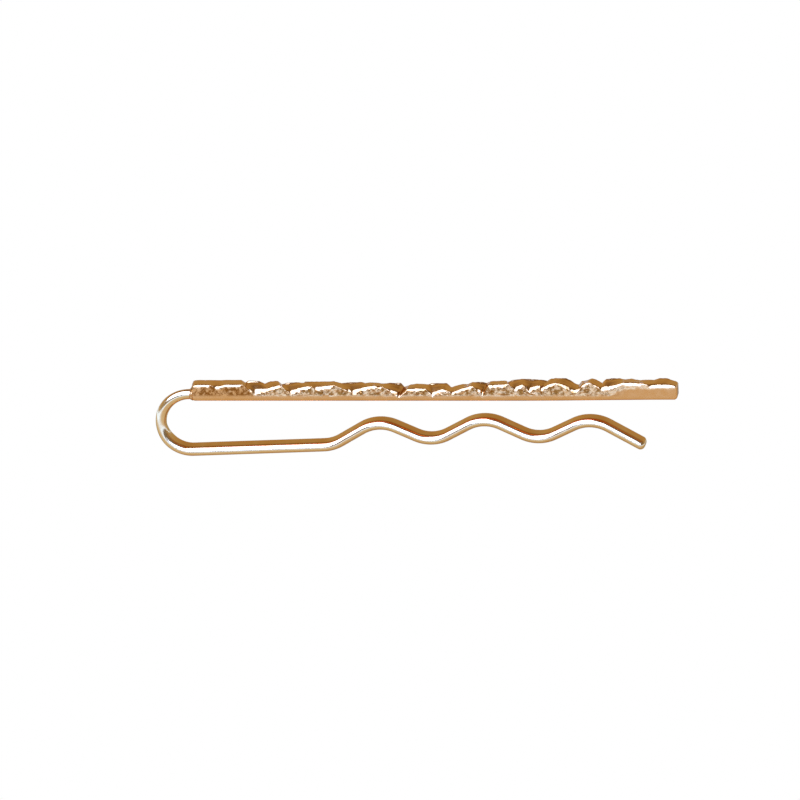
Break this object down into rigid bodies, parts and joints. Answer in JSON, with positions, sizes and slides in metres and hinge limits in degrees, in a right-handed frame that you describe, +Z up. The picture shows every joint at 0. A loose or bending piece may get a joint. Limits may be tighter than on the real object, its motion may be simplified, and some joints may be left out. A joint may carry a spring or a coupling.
{
  "type": "hair slide",
  "caption": "Sprung hair slide: a straight metal bar with a crumpled top, and a bent wire whose wavy half-round leg grips hair against the bar.",
  "frame": {"origin": "on the bar's underside at mid-width, straight above the middle crest of the leg, where hair is gripped", "axes": "+X along the bar to the open end, +Z up through the bar's top, +Y across the width"},
  "size_m": [0.0652, 0.002, 0.0098],
  "materials": {
    "cast_gold": "polished cast gold-coloured metal with a crumpled, half-melted top",
    "wire_gold": "polished drawn wire, gold-coloured",
    "braze": "lumpy solder bead, plated with the rest"
  },
  "bodies": {
    "root": {"ornament_bar": "cast_gold", "braze_bead": "braze", "wire_tail": "wire_gold", "spring_bend": "wire_gold"},
    "leg": {"wavy_leg": "wire_gold"}
  },
  "joints": [
    {"name": "leg_spring", "type": "hinge", "parent": "root", "child": "leg", "pos_m": [-0.03902, 0, -0.00327], "axis": [0, 1, 0], "range_deg": [-2.3, 10], "stiffness_Nm_per_rad": 0.5, "deforming": ["spring_bend"]}
  ]
}
